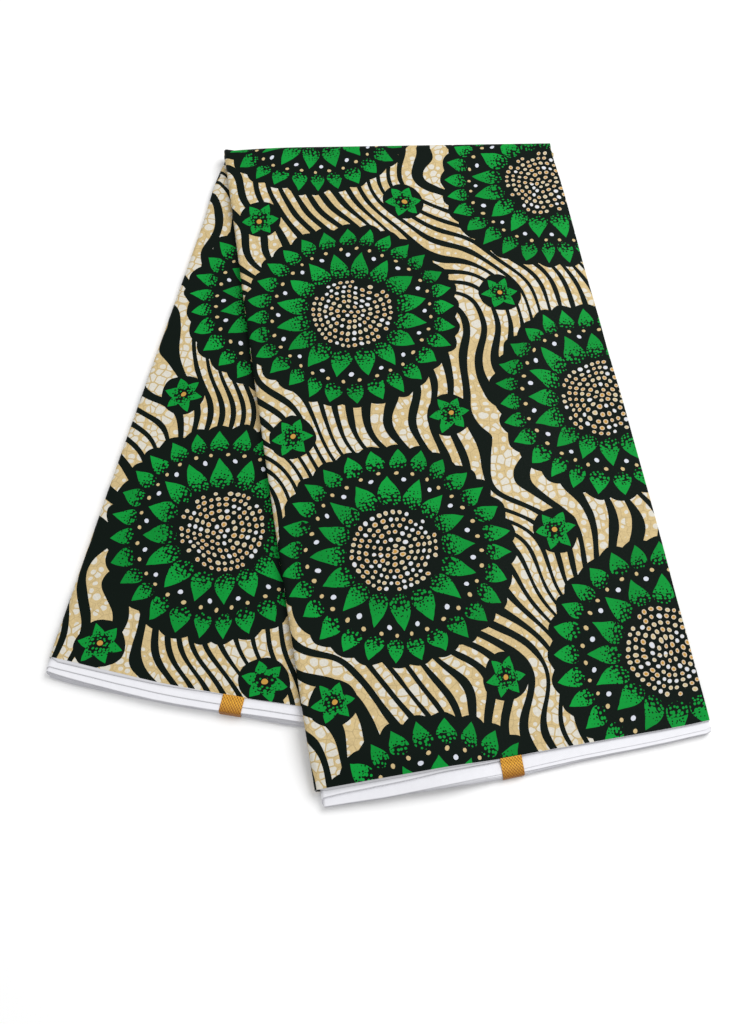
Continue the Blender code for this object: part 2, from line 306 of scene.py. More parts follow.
def swell(x, y):
    """The cloth's soft swells and troughs here, none at the fold across."""
    lift = np.zeros_like(x)
    for at_x, at_y, length, width, turn, height in SWELLS:
        turn = math.radians(turn)
        away_x, away_y = x - at_x, y - at_y
        lengthwise = (away_x * math.cos(turn) + away_y * math.sin(turn)) / length
        sideways = (away_y * math.cos(turn) - away_x * math.sin(turn)) / width
        lift = lift + height * MM * np.exp(-(lengthwise**2) - sideways**2)
    return lift * smooth((FOLD_AXIS_Y - SWELLS_START - y) / SWELLS_RISE)


def drawn(points):
    """The fold's left corner is drawn a little forward and pinched into a small tip, and the back leg's
    left side swings out below it."""
    points = points.copy()
    beside = smooth(1 - (points[..., 0] - FOLD_CORNER_X) / SWING_IN)
    beneath = smooth(1 - (points[..., 2] - SWING_TOP) / SWING_FADE)
    points[..., 0] -= SWING * beside * beneath * np.exp(-(((points[..., 1] - SWING_Y) / SWING_SPAN) ** 2))
    side = np.minimum(np.maximum(0, 1 - (points[..., 0] - FOLD_CORNER_X) / CORNER_SPAN) ** 2, 1)
    depth = smooth(1 + (points[..., 1] - FOLD_AXIS_Y) / CORNER_DEPTH)
    points[..., 1] -= CORNER_DRAWN * side * depth
    away = np.linalg.norm((points - np.array(TIP)) / np.array(TIP_REACH), axis=-1)
    pull = np.maximum(0, 1 - away)[..., None] ** 1.5
    return points + pull * np.array(TIP_PULL)


def section(leg, across, level, along):
    """Points of a leg. Level is 0 at the stack's underside and STACK at its top."""
    under, top = leg.heights(across, along)
    x, y = leg.place(across, along)
    lift = swell(x, y) * level / STACK
    return np.stack([x, y, mix(under, top, level / STACK) + lift], axis=-1)


def turned(points, share):
    """The first section's points, carried round the fold's axis to the underside."""
    from_axis = points[..., 2] - STACK
    narrow = mix(1, math.cos(FRONT_LEAN) / math.cos(BACK_LEAN), share)
    x = FOLD_CORNER_X + (points[..., 0] - FOLD_CORNER_X) * narrow
    y = FOLD_AXIS_Y + from_axis * np.sin(math.pi * share)
    return np.stack([x, y, STACK + from_axis * np.cos(math.pi * share)], axis=-1)


def print_rows(leg, across):
    """How far along the leg each row of points lies, from the fold across to the end of the print."""
    shares = np.linspace(0, 1, LEG_ROWS)[:, None]
    return mix(leg.start(across), leg.reach("print_line", across), shares)


def unfolded(across, along):
    """Coordinates on the unfolded cloth."""
    return np.stack(np.broadcast_arrays(across, along), axis=-1)


def over_fold(points, coordinates, steps, lean=0):
    """Carries a piece's first row over the fold across, down to the underside."""
    shares = np.linspace(1, 0, steps + 1)[:-1]
    over = [turned(points[0], share) for share in shares]
    heading = np.array([-math.sin(lean), math.cos(lean)])
    carried = [coordinates[0] + math.pi * share * STACK * heading for share in shares]
    return np.concatenate([over, points]), np.concatenate([carried, coordinates])


def travelled(across, level):
    """How far along an outline each of its points lies."""
    return np.append(0, np.cumsum(np.hypot(np.diff(across), np.diff(level))))


def skin_columns():
    """The outer leaf's outline across the leg: place across, level and cloth coordinate at each point,
    from its return under the right edge, over the top and round the left fold."""
    lean_in = np.radians(np.linspace(-90, 90, 9))
    right_across = STRIP_WIDTH - PITCH + PITCH * np.cos(lean_in)
    right_level = STACK - PITCH + PITCH * np.sin(lean_in)
    flat = np.linspace(STRIP_WIDTH - PITCH, ROLL, 66)[1:]
    roll = np.radians(np.linspace(90, -90, 15))[1:]
    left_across, left_level = ROLL - ROLL * np.cos(roll), ROLL + ROLL * np.sin(roll)
    across = [STRIP_WIDTH - UNDER_RIGHT, *right_across, *flat, *left_across, ROLL + UNDER_LEFT]
    level = [STACK - 2 * PITCH, *right_level, *np.full(len(flat), STACK), *left_level, 0]
    cloth = travelled(across, level)
    middle = np.interp(0, roll[::-1], cloth[-1 - len(roll) : -1][::-1])
    return np.array(across), np.array(level), middle - cloth


def folds_columns():
    """The hidden folds' closed outline: up the right side fold by fold, over the top, round the left
    fold and back along the underside."""
    ridges = LEAVES_IN_STACK // 2 - 1
    height = (STACK - 2 * PITCH) / ridges
    across, level, ridge = [], [], []
    for number in range(ridges):
        for angle in np.radians((-90, -55, -20, 20, 55)):
            across.append(STRIP_WIDTH - height * 0.75 * (1 - math.cos(angle)))
            level.append(height * (number + 0.5 + 0.5 * math.sin(angle)))
            ridge.append(number)
    inside = 0.0006
    top = STACK - 2 * PITCH - 0.00002
    over = np.linspace(STRIP_WIDTH - 0.0008, ROLL, 30)
    roll = np.radians(np.linspace(80, -80, 8))
    across += [*over, *(ROLL - (ROLL - inside) * np.cos(roll)), ROLL, ROLL + 0.0035]
    round_level = (top + inside) / 2 + (top - inside) / 2 * np.sin(roll)
    level += [*np.full(len(over), top), *round_level, inside, inside]
    below = np.linspace(ROLL + 0.007, STRIP_WIDTH - 0.002, 50)
    across += [*below]
    level += [0] * len(below)
    ridge += [-1] * (len(across) - len(ridge))
    return np.array(across), np.array(level), np.array(ridge)


def quads(rows, columns, closed=False):
    """The faces between the points of a grid, row by row."""
    here = np.arange(rows * columns).reshape(rows, columns)
    after = np.roll(here, -1, axis=1)
    faces = np.stack([here[:-1], here[1:], after[1:], after[:-1]], axis=-1)
    return (faces if closed else faces[:, :-1]).reshape(-1, 4).tolist()


def cloth_object(name, points, coordinates, materials, face_material=None, closed=False, grey=None):
    """A mesh object from a grid of points, with the cloth's own coordinates as its UV map."""
    rows, columns = points.shape[:2]
    mesh = bpy.data.meshes.new(name)
    mesh.from_pydata(drawn(points).reshape(-1, 3).tolist(), [], quads(rows, columns, closed))
    layer = mesh.uv_layers.new(name="cloth")
    corners = np.empty(len(mesh.loops), dtype=int)
    mesh.loops.foreach_get("vertex_index", corners)
    layer.data.foreach_set("uv", coordinates.reshape(-1, 2)[corners].ravel())
    # The painted shade of the white cotton, 0 for none and 1 for black
    if grey is not None:
        mesh.attributes.new("grey", "FLOAT", "POINT").data.foreach_set("value", grey.ravel())
    for material in materials:
        mesh.materials.append(material)
    if face_material is not None:
        mesh.polygons.foreach_set("material_index", face_material)
    piece = bpy.data.objects.new(name, mesh)
    bpy.context.collection.objects.link(piece)
    return piece


def painted_shade(leg, across, along, order):
    """Painted shade on the bare cotton at each point of a leaf: grey beside the print's step, and a painted
    shadow along its last row, its edge over the leaf below.
    """
    rightwards = smooth((across - 0.110) / 0.060)
    strength, reach = (mix(left, right, rightwards) for left, right in PAINTED_SHADE_BESIDE_PRINT[leg.name])
    past = (along - leg.reach("print_line", across)) / MM
    grey = strength * (1 - smooth(past / reach))
    # The painted shadow along the leaf's last row, where its edge lies over the leaf below
    grey[-1] = np.maximum(grey[-1], PAINTED_SHADOW_AT_EDGES[leg.name][min(order // 2, 2)])
    return grey


def select(*pieces):
    """Selects these pieces alone, with the first as the active one."""
    bpy.ops.object.select_all(action="DESELECT")
    for piece in pieces:
        piece.select_set(True)
    bpy.context.view_layer.objects.active = pieces[0]


def finish_piece(piece, angle, *steps):
    """Applies modifiers one after another, and shades the piece smooth up to edges sharper than the angle."""
    select(piece)
    for kind, settings in steps:
        step = piece.modifiers.new(kind, kind)
        for key, value in settings.items():
            setattr(step, key, value)
        bpy.ops.object.modifier_apply(modifier=step.name)
    bpy.ops.object.shade_smooth_by_angle(angle=math.radians(angle))


def dress(piece, node):
    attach(piece, "root")
    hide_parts(node)


def make_printed_leaf(leg, looks, sizes):
    """The outer leaf of one leg: its top, its left fold and, at the front, the fold across."""
    across, level, cloth = skin_columns()
    along = print_rows(leg, across)
    uneven = wander(along, SEEDS[leg.name]["side"], 0.045)
    wide = across + 0.0004 * uneven * (across > STRIP_WIDTH - 0.003)
    end = leg.reach("print_line", across)
    border = (leg.reach("border", across) - end) * smooth((across - 0.002) / 0.006)
    border = np.maximum(border, 0.00015)
    along = np.concatenate([along[:-1], [end + past * border for past in (0, 0.5, 1)]])
    wide = np.concatenate([wide[:-1], np.repeat(wide[-1:], 3, axis=0)])
    points = section(leg, wide, level, along)
    coordinates = unfolded(leg.way * cloth, -leg.way * along)
    if leg is FRONT:
        points, coordinates = over_fold(points, coordinates, 18, leg.lean)
    else:
        points[0, :, 1] -= CLEAR
    rows, columns = points.shape[:2]
    face_looks = np.repeat([0] * (rows - 3) + [1, 1], columns - 1)
    # Painted shade on the printed leaf's white border, beside the print's step and along its edge
    grey = np.zeros((rows, columns))
    grey[-3:] = painted_shade(leg, wide[-3:], along[-3:], 1)
    name = f"{leg.name}_print"
    piece = cloth_object(name, points[:, ::-1], coordinates[:, ::-1], looks, face_looks, grey=grey[:, ::-1])
    finish_piece(piece, 50, ("SOLIDIFY", {"thickness": sizes.leaf, "offset": -1}))
    length = float(leg.reach("border", PRINT_LENGTH_AT))
    if leg is FRONT:
        length += math.pi * STACK
    dress(piece, f"{leg.name}_leaf")


def make_layers(leg, look, sizes):
    """The hidden folds of one leg, one rounded solid that shows its folded edges at the right."""
    across, level, ridge = folds_columns()
    along = print_rows(leg, across)
    draw = np.zeros_like(along)
    for number in range(ridge.max() + 1):
        mine, seed = ridge == number, SEEDS[leg.name]["ridges"] + number
        sway = 0.5 + 0.5 * wander(along[:, mine], seed, 0.085)
        own = np.random.default_rng(seed).uniform(0, 0.5)
        draw[:, mine] = -sizes.unevenness * (own + 0.9 * sway)
    wide = across + draw
    points = section(leg, wide, level, along)
    # Each ridge shows another leaf of the cloth
    cloth = np.where(ridge < 0, across, travelled(across, level) + (CLOTH_STEP + 0.17 * ridge))
    coordinates = unfolded(leg.way * cloth, -leg.way * along)
    if leg is FRONT:
        points, coordinates = over_fold(points, coordinates, 14)
    else:
        points[0, :, 1] -= CLEAR
        # The underside goes on from the front leg's print, past the fold across
        below = (level == 0) | (ridge < 0) & (level < 0.001)
        x, y = points[..., 0] - FOLD_CORNER_X, FOLD_AXIS_Y - points[..., 1] + math.pi * STACK
        lean = FRONT.lean
        past = unfolded(-x * math.cos(lean) - y * math.sin(lean), y * math.cos(lean) - x * math.sin(lean))
        coordinates = np.where(below[:, None], past, coordinates)
    piece = cloth_object(f"{leg.name}_layers", points, coordinates, [look], closed=True)
    close_ends(piece, *points.shape[:2])
    finish_piece(piece, 60)
    size = (STRIP_WIDTH, float(leg.reach("print_line", FOLDS_LENGTH_AT)))
    dress(piece, f"{leg.name}_folds")


def close_ends(piece, rows, columns):
    """Fills both ends of a closed outline's tube and turns all its faces outwards."""
    mesh = bmesh.new()
    mesh.from_mesh(piece.data)
    mesh.verts.ensure_lookup_table()
    ends = [mesh.faces.new(mesh.verts[at : at + columns]) for at in (0, (rows - 1) * columns)]
    bmesh.ops.triangulate(mesh, faces=ends, ngon_method="EAR_CLIP")
    bmesh.ops.recalc_face_normals(mesh, faces=mesh.faces)
    if mesh.calc_volume(signed=True) < 0:
        bmesh.ops.reverse_faces(mesh, faces=mesh.faces)
    mesh.to_mesh(piece.data)
    mesh.free()


def leaf_reach(leg, across, column, past, seed):
    """How far one selvedge leaf reaches past its column of the table, a little uneven and with its right
    corner rounded."""
    beyond = np.interp(across / MM, PAST_PLACES[leg.name], past) * MM
    ends = leg.reach(column, across) + beyond
    ends = ends + 0.00016 * wander(across, seed, 0.035) + 0.00008 * wander(across, seed + 500, 0.009)
    into = np.clip((across - STRIP_WIDTH + CORNER_RADIUS) / CORNER_RADIUS, 0, 1)
    return ends - CORNER_RADIUS * (1 - np.sqrt(1 - into**2))


def leaf_line(leg, level, short, folded=True):
    """One white leaf at its level, from the fold at its left to its right end: places across and levels."""
    flat = np.linspace(NEST_CENTRE[leg.name], STRIP_WIDTH - short, 80)
    middle = STACK / 2 - 0.0003
    half = level - middle
    wide = NEST_WIDTH[leg.name] * half / (STACK / 2)
    angles = np.radians(np.linspace(-70, 80, 11 if folded else 0))
    across = np.append(NEST_CENTRE[leg.name] - wide * np.cos(angles), flat)
    return across, np.append(middle + half * np.sin(angles), np.full(len(flat), level))


def pair_outline(leg, order, leaf):
    """The outside of two leaves joined at the right: place across, level, and 0 on the upper leaf to 1 on
    the lower."""
    curl = (PITCH - 0.00001) / 2
    high, low = STACK - PITCH * order, STACK - PITCH * (order + 1) - leaf
    upper, lower = (leaf_line(leg, level, 0.0003, order < NESTED_LEAVES) for level in (high, low))
    bend = np.radians((60, 25, 0, -25, -60))
    across = np.concatenate([upper[0], upper[0][-1] + curl * 1.1 * np.cos(bend), lower[0][::-1]])
    level = np.concatenate([upper[1], (high + low) / 2 + (high - low) / 2 * np.sin(bend), lower[1][::-1]])
    share = np.array([*np.zeros(len(upper[0])), 0.1, 0.3, 0.5, 0.7, 0.9, *np.ones(len(lower[0]))])
    return across, level, share


def make_white_end(leg, order, across, level, outer, kind, look, sizes):
    """White leaves from the print's edge to their raw edge, with the width and area of their cut."""
    rows, hidden, short = kind
    inner = leg.reach("print_line", across) + CLEAR
    if leg is FRONT and order < RUN_OUT_LEAVES:
        left = 1 - smooth((across - RUN_OUT_START) / RUN_OUT)
        outer = inner + np.maximum((outer - inner) * left, SLIVER * (order + 1))
    turned_down = np.clip((STACK - PITCH * order - level) / STACK, 0, 1) * (across < NEST_CENTRE[leg.name])
    outer = mix(outer, leg.reach("lower", across) - short, turned_down)
    inner = np.where(turned_down > 0.1, inner, inner - hidden)
    along = mix(inner, outer, np.array(rows)[:, None])
    points = section(leg, across, level, along)
    coordinates = unfolded(across + CLOTH_STEP * (order // 2 * 2), along)
    # Painted shade beside the print and a painted shadow along the leaves' edges
    piece = cloth_object("white_end", points, coordinates, [look], grey=painted_shade(leg, across, along, order))
    finish_piece(piece, 50, ("SOLIDIFY", {"thickness": sizes.leaf, "offset": -1}))
    run = np.hypot(np.diff(across), np.diff(level))
    depth = outer - inner
    return piece, float(np.sum(run)), float(np.sum(run * (depth[1:] + depth[:-1]) / 2))


def make_margin(leg, look, sizes):
    """The white end of the leaf just under the printed one, which starts a little under the print."""
    across, level = leaf_line(leg, STACK - PITCH, 0.0006)
    column = "upper" if leg is FRONT else "upper_margin"
    outer = leaf_reach(leg, across, column, (0, 0, 0, 0), SEEDS[leg.name]["margin"])
    return make_white_end(leg, 1, across, level, outer, MARGIN_END, look, sizes)


def make_pair(leg, order, column, upper, lower, look, sizes):
    """Two white ends joined at the right."""
    across, level, share = pair_outline(leg, order, sizes.leaf)
    seed = SEEDS[leg.name]["pairs"] + 7 * order
    ends = (leaf_reach(leg, across, column, upper, seed), leaf_reach(leg, across, column, lower, seed + 3))
    return make_white_end(leg, order, across, level, mix(*ends, share), PAIR_END, look, sizes)


def make_selvedge(leg, group, look, sizes):
    """The white leaf ends that stand for one selvedge node, joined into one piece."""
    made = [make_margin(leg, look, sizes)] if group == "upper" else []
    for number, (name, *pair) in enumerate(SELVEDGE_PAIRS[leg.name]):
        if name == group:
            made.append(make_pair(leg, 2 * number + 2, *pair, look, sizes))
    pieces, widths, areas = zip(*made)
    select(*pieces)
    bpy.ops.object.join()
    pieces[0].name = pieces[0].data.name = f"{leg.name}_white_{group}"
    cut = (sum(widths), max(LEAST_DEPTH, sum(areas) / sum(widths)))
    area = min(sum(areas), cut[0] * cut[1])
    node = f"{leg.name}_selvedge_{group}"
    dress(pieces[0], node)


def outermost(leg, across):
    """How far the farthest of the leg's selvedge leaves reaches."""
    ways = [(column, past) for _, column, *both in SELVEDGE_PAIRS[leg.name] for past in both]
    return np.max([leaf_reach(leg, across, *way, 0) for way in ways], axis=0)


def make_tab(leg, look, sizes):
    """A woven band from the print line over the stepped leaves and down their ends."""
    across = TAB_ACROSS[leg.name] + np.linspace(0, TAB_WIDTH, 13)
    crown_column = "middle" if leg is FRONT else "upper"
    crown_level = STACK - PITCH * (4 if leg is FRONT else 2)
    start, crown = leg.reach("print_line", across), leg.reach(crown_column, across)
    tip = outermost(leg, across) + 0.0004
    # From the print line to the floor: how far along the leg, and at what level
    stations = (
        (start - 0.0002, STACK + 0.0001),
        (start + 0.0010, STACK + 0.0001),
        (start + 0.0030, mix(crown_level, STACK, 0.4) + 0.0002),
        (mix(start, crown, 0.5), crown_level + 0.0003),
        (crown - 0.0010, crown_level + 0.0002),
        (crown + 0.0003, crown_level - 0.0002),
        (mix(crown, tip, 0.65), crown_level - 0.0009),
        (tip, crown_level * 0.66),
        (tip + 0.0001, crown_level * 0.3),
        (tip, 0.0001),
    )
    along, level = (np.stack(values) for values in zip(*stations))
    bulge = 0.00012 * np.sin(math.pi * np.linspace(0, 1, len(across)))
    points = section(leg, across, level[:, None] + bulge + sizes.tab, along)
    run = np.linalg.norm(np.diff(points, axis=0), axis=-1)
    length = np.concatenate([np.zeros((1, len(across))), np.cumsum(run, axis=0)])
    piece = cloth_object(f"{leg.name}_band", points, unfolded(across - across[0], length), [look])
    rounded = ("SUBSURF", {"levels": 2, "render_levels": 2})
    thick = ("SOLIDIFY", {"thickness": sizes.tab, "offset": -1})
    edged = ("BEVEL", {"width": 0.00022, "segments": 2, "limit_method": "ANGLE"})
    finish_piece(piece, 50, rounded, thick, edged)
    dress(piece, f"{leg.name}_tab")


def linear(code):
    """An sRGB hex value as linear red, green and blue."""
    channels = [int(code[at : at + 2], 16) / 255 for at in (1, 3, 5)]
    return [c / 12.92 if c <= 0.04045 else ((c + 0.055) / 1.055) ** 2.4 for c in channels]


def paint(colour, strength=1):
    """One of the panel's colours, made darker or lighter, with its alpha."""
    return [min(1, channel * strength) for channel in colour] + [1]


def set_inputs(node, inputs):
    """Sets or links a node's inputs, by name or number, or in their order."""
    for socket, value in inputs.items() if isinstance(inputs, dict) else enumerate(inputs):
        if isinstance(value, bpy.types.NodeSocket):
            node.id_data.links.new(value, node.inputs[socket])
        else:
            node.inputs[socket].default_value = value


def add_node(tree, kind, inputs=(), out=0, **settings):
    """Adds a node with its settings and inputs, and gives back one of its outputs. The kind may name an
    operation, as in VectorMath.SCALE, and SINE alone is one of Math's."""
    kind, _, operation = ("Math." + kind if kind.isupper() else kind).partition(".")
    node = tree.nodes.new("ShaderNode" + kind)
    if operation:
        node.operation = operation
    for key, value in settings.items():
        setattr(node, key, value)
    set_inputs(node, inputs)
    return node.outputs[out]


def new_material(name):
    """A new material, what adds nodes to it, and its shader."""
    material = bpy.data.materials.new(name)
    material.use_nodes = True
    tree = material.node_tree
    return material, partial(add_node, tree), tree.nodes["Principled BSDF"]


def unfolded_place(add):
    """The place on the unfolded cloth, in mm."""
    return add("VectorMath.SCALE", {0: add("UVMap", uv_map="cloth"), 3: 1 / MM})


def plain_weave(add, cloth, strength):
    """Plain weave: each thread goes over and under its neighbours."""
    angle = add("VectorMath.SCALE", {0: cloth, 3: math.pi / THREAD_PITCH})
    parts = add("SeparateXYZ", [angle]).node
    over, under = (add("SINE", [parts.outputs[axis]]) for axis in (0, 1))
    woven = add("MULTIPLY", [over, under])
    slub = add("TexNoise", {"Vector": cloth, "Scale": 1 / 2.4, "Detail": 3}, noise_dimensions="2D")
    height = add("MULTIPLY_ADD", [slub, 1.6, woven])
    return add("Bump", {"Height": height, "Strength": strength, "Distance": 0.00008})


def from_middle(add, place):
    """How far a place lies from the middle of its own step, from -0.5 to 0.5."""
    return add("SUBTRACT", [add("FRACT", [place]), 0.5])


def resist_dots(add, turn, radius, spacing, last_ring, size, seed, colours):
    """Paints for resist-printed dots in rings about a centre, in three colours and with pale rims."""
    ring = add("FLOOR", [add("MULTIPLY_ADD", [radius, 1 / spacing, 0.5])])
    around = add("ROUND", [add("MULTIPLY", [ring, 2 * math.pi])])
    count = add("MAXIMUM", [around, 1.0])
    place = add("MULTIPLY_ADD", [turn, count, add("MULTIPLY", [ring, 0.37])])
    ring_radius = add("MULTIPLY", [ring, spacing])
    arc = add("DIVIDE", [add("MULTIPLY", [ring_radius, 2 * math.pi]), count])
    aside = add("MULTIPLY", [from_middle(add, place), arc])
    off = add("SUBTRACT", [radius, ring_radius])
    number = add("CombineXYZ", [ring, add("FLOOR", [place]), seed])
    chance = add("TexWhiteNoise", {"Vector": number}, out="Color")
    jitter = add("VectorMath.MULTIPLY_ADD", [chance, (0.9, 0.9, 0), (-0.45, -0.45, 0)])
    spot = add("VectorMath.ADD", [add("CombineXYZ", [aside, off, 0.0]), jitter])
    away = add("VectorMath.LENGTH", [spot], out="Value")
    pick = add("SeparateColor", [chance]).node.outputs
    girth = add("MULTIPLY_ADD", [pick[2], 0.4, size])
    present = add("LESS_THAN", [add("ADD", [ring, pick[0]]), last_ring])
    dot = add("MULTIPLY", [add("LESS_THAN", [away, girth]), present])
    tint = add("ValToRGB", [pick[1]])
    ramp = tint.node.color_ramp
    ramp.interpolation = "CONSTANT"
    ramp.elements.new(0.5)
    for stop, (start, colour) in zip(ramp.elements, CENTRE_TINTS):
        stop.position, stop.color = start, paint(getattr(colours, colour))
    yield dot, tint
    rim = add("GREATER_THAN", [away, add("SUBTRACT", [girth, 0.75])])
    yield add("MULTIPLY", [dot, add("MULTIPLY", [rim, 0.6])]), paint(colours.pebble)


def dot_ring(add, turn, radius, count, away, size):
    """The mask of one ring of evenly set dots about a centre."""
    within = from_middle(add, add("MULTIPLY", [turn, float(count)]))
    aside = add("MULTIPLY", [within, 2 * math.pi * away / count])
    off = add("SUBTRACT", [radius, away])
    spot = add("CombineXYZ", [aside, off, 0.0])
    return add("LESS_THAN", [add("VectorMath.LENGTH", [spot], out="Value"), size])


def petals(add, turn, radius, bubbles, count, inner, outer, width):
    """The mask of a ring of pointed petals, whose inner ends break up into bubbles as wax resist does."""
    place = add("MULTIPLY_ADD", [turn, float(count), 0.5])
    aside = add("MULTIPLY", [add("ABSOLUTE", [from_middle(add, place)]), 2 * math.pi / count])
    share = add("MapRange", [radius, inner, outer])
    half = add("SINE", [add("MULTIPLY", [add("POWER", [share, 0.62]), math.pi])])
    inside = add("GREATER_THAN", [add("MULTIPLY", [half, width / 2]), add("MULTIPLY", [aside, radius])])
    island = add("LESS_THAN", [bubbles, add("MapRange", [share, 0.0, 0.45, 0.2, 0.5])])
    speck = add("GREATER_THAN", [bubbles, add("MapRange", [share, 0.34, 0.8, 0.33, 0.0])])
    filled = add("Mix", {0: add("GREATER_THAN", [share, 0.4]), 2: island, 3: speck})
    return add("MULTIPLY", [inside, filled])


def hand_cut(add, cloth, sizes):
    """The print's coordinates: its drawing wanders 2 mm over 40 mm, and its edges 0.15 mm over 5 mm."""
    moved = cloth
    for length, detail, sway in ((42, 1.0, 9.0), (5.0, 0.0, 0.45)):
        noise = {"Vector": cloth, "Scale": 1 / length, "Detail": detail}
        sideways = add("TexNoise", noise, out="Color", noise_dimensions="2D")
        moved = add("VectorMath.MULTIPLY_ADD", [sideways, (sway, sway, 0), moved])
    return add("VectorMath.ADD", [moved, (sizes.shift_across / MM, sizes.shift_along / MM, 0)])


def nearer_of(add, first, second):
    """The shorter of two vectors, and its length."""
    lengths = [add("VectorMath.LENGTH", [vector], out="Value") for vector in (first, second)]
    second_nearer = add("LESS_THAN", lengths[::-1])
    nearer = add("Mix", {0: second_nearer, 4: first, 5: second}, out=1, data_type="VECTOR")
    return nearer, add("MINIMUM", lengths)


def turns_about(add, place, start):
    """How many turns a place lies round its centre, from the start."""
    parts = add("SeparateXYZ", [place]).node
    angle = add("ARCTAN2", [parts.outputs[1], parts.outputs[0]])
    return add("MULTIPLY_ADD", [angle, 1 / (2 * math.pi), start])


def crackled_ground(add, cloth, moved, drift, colours):
    """Paints for the tan ground: its uneven dye, its veins, and pale pebbles of about 7 mm where the wax
    resisted the dye."""
    cells = {"Vector": moved, "Scale": 1 / 7.5, "Randomness": 0.85}
    stones = add("TexVoronoi", cells, voronoi_dimensions="2D").node
    seams = add("TexVoronoi", cells, voronoi_dimensions="2D", feature="DISTANCE_TO_EDGE")
    chance = add("SeparateColor", [stones.outputs["Color"]])
    size = add("SUBTRACT", [add("MULTIPLY_ADD", [chance, 0.42, drift]), 0.36])
    stone = add("LESS_THAN", [stones.outputs["Distance"], size])
    stone = add("MULTIPLY", [stone, add("GREATER_THAN", [seams, 0.075])])
    dye = add("TexNoise", {"Vector": cloth, "Scale": 1 / 7.0, "Detail": 2.0}, noise_dimensions="2D")
    dye = add("MapRange", [dye, 0.35, 0.65])
    vein = add("MapRange", [seams, 0.02, 0.06, 0.8, 0.0])
    pale, deep = paint(colours.ground, 1.10), paint(colours.ground, 0.80)
    return (dye, pale), (vein, deep), (stone, paint(colours.pebble))


def wavy_lines(add, cloth, drift):
    """The mask of wavy lines every 13 mm, from 3.8 to 6.9 mm wide."""
    warp = add("TexNoise", {"Vector": cloth, "Scale": 1 / 150, "Detail": 1.0}, noise_dimensions="2D")
    slope = add("VectorMath.DOT_PRODUCT", [cloth, (0.93 / LINES_APART, 0.37 / LINES_APART, 0)], out="Value")
    phase = add("MULTIPLY_ADD", [warp, 9.0, slope])
    line = add("ABSOLUTE", [from_middle(add, phase)])
    half_width = add("MapRange", [drift, 0.3, 0.7, 0.265, 0.145])
    return add("LESS_THAN", [line, half_width])


def small_flowers(add, local, half_x, half_y, bubbles, colours):
    """Paints for the small six-petal flowers where three heads leave room."""
    beside = add("VectorMath.ABSOLUTE", [local])
    gap_x = (half_x**2 - half_y**2) / (2 * half_x)
    places = ((gap_x, half_y, 0), (half_x - gap_x, 0, 0))
    small, away = nearer_of(add, *[add("VectorMath.SUBTRACT", [beside, place]) for place in places])
    turn = turns_about(add, small, 3.0)
    return (
        (add("LESS_THAN", [away, SMALL_DISC]), paint(colours.ink)),
        (petals(add, turn, away, bubbles, *SMALL_PETALS), paint(colours.leaf)),
        (add("LESS_THAN", [away, SMALL_EYE]), paint(colours.dot_gold)),
    )


def flower_head(add, turn, radius, bubbles, drift, chance, colours):
    """Paints for a flower head: an ink disc with a scalloped edge, two rings of petals, two of dots, and
    a dotted centre."""
    wave = add("ABSOLUTE", [add("COSINE", [add("MULTIPLY", [turn, math.pi * OUTER_PETALS])])])
    disc = add("LESS_THAN", [radius, add("MULTIPLY_ADD", [wave, 3.5, HEAD_RADIUS])])
    layers = [(disc, paint(colours.ink))]
    dark, light = paint(colours.leaf, 0.85), paint(colours.leaf, 1.15)
    shade = add("MapRange", [drift, 0.3, 0.7])
    shade = add("Mix", {0: shade, 6: dark, 7: light}, out=2, data_type="RGBA")
    layers += [(petals(add, turn, radius, bubbles, *ring), shade) for ring in HEAD_PETALS]
    for colour, *ring in HEAD_DOTS:
        layers.append((dot_ring(add, turn, radius, *ring), paint(getattr(colours, colour))))
    return *layers, *resist_dots(add, turn, radius, *CENTRE_DOTS, chance, colours)


def draw_print(add, cloth, colours, sizes):
    """The print's colour: round flower heads in half-drop rows on a crackled ground with wavy lines."""
    moved = hand_cut(add, cloth, sizes)
    half_x, half_y = sizes.repeat_across / MM, sizes.repeat_along / MM / 2
    corners = [(half_x, half_y, 1), (-half_x, -half_y, -1)]
    dropped = add("VectorMath.SUBTRACT", [moved, (half_x, half_y, 0)])
    heads = [add("VectorMath.WRAP", [place, *corners]) for place in (moved, dropped)]
    local, radius = nearer_of(add, *heads)
    centre = add("VectorMath.SUBTRACT", [moved, local])
    centre = add("VectorMath.MULTIPLY_ADD", [centre, (1 / half_x, 1 / half_y, 0), (0.5, 0.5, 0.5)])
    chance = add("TexWhiteNoise", {"Vector": add("VectorMath.FLOOR", [centre])}, out="Value")
    turn = add("ADD", [turns_about(add, local, chance), 3.0])
    drift = add("TexNoise", {"Vector": cloth, "Scale": 1 / 60, "Detail": 2.0}, noise_dimensions="2D")
    cells = {"Vector": moved, "Scale": 1 / 3.0, "Randomness": 0.65}
    bubbles = add("TexVoronoi", cells, voronoi_dimensions="2D")
    colour = paint(colours.ground)
    for mask, over in (
        *crackled_ground(add, cloth, moved, drift, colours),
        (wavy_lines(add, cloth, drift), paint(colours.ink)),
        *small_flowers(add, local, half_x, half_y, bubbles, colours),
        *flower_head(add, turn, radius, bubbles, drift, chance, colours),
    ):
        colour = add("Mix", {0: mask, 6: colour, 7: over}, out=2, data_type="RGBA")
    return colour


def printed_cotton(name, colours, sizes):
    """Wax-printed plain-weave cotton: dyed through, pressed, with a faint dry sheen from its finish."""
    material, add, shader = new_material(name)
    cloth = unfolded_place(add)
    colour = draw_print(add, cloth, colours, sizes)
    mottle = add("TexNoise", {"Vector": cloth, "Scale": 1 / 1.6, "Detail": 3.0}, noise_dimensions="2D")
    value = add("MapRange", [mottle, 0.3, 0.7, 0.93, 1.07])
    set_inputs(shader, {
        "Base Color": add("VectorMath.SCALE", {0: colour, 3: value}),
        "Roughness": add("MapRange", [mottle, 0.3, 0.7, 0.56, 0.7]),
        "Specular IOR Level": 0.06,
        "Normal": plain_weave(add, cloth, 0.25),
    })
    return material


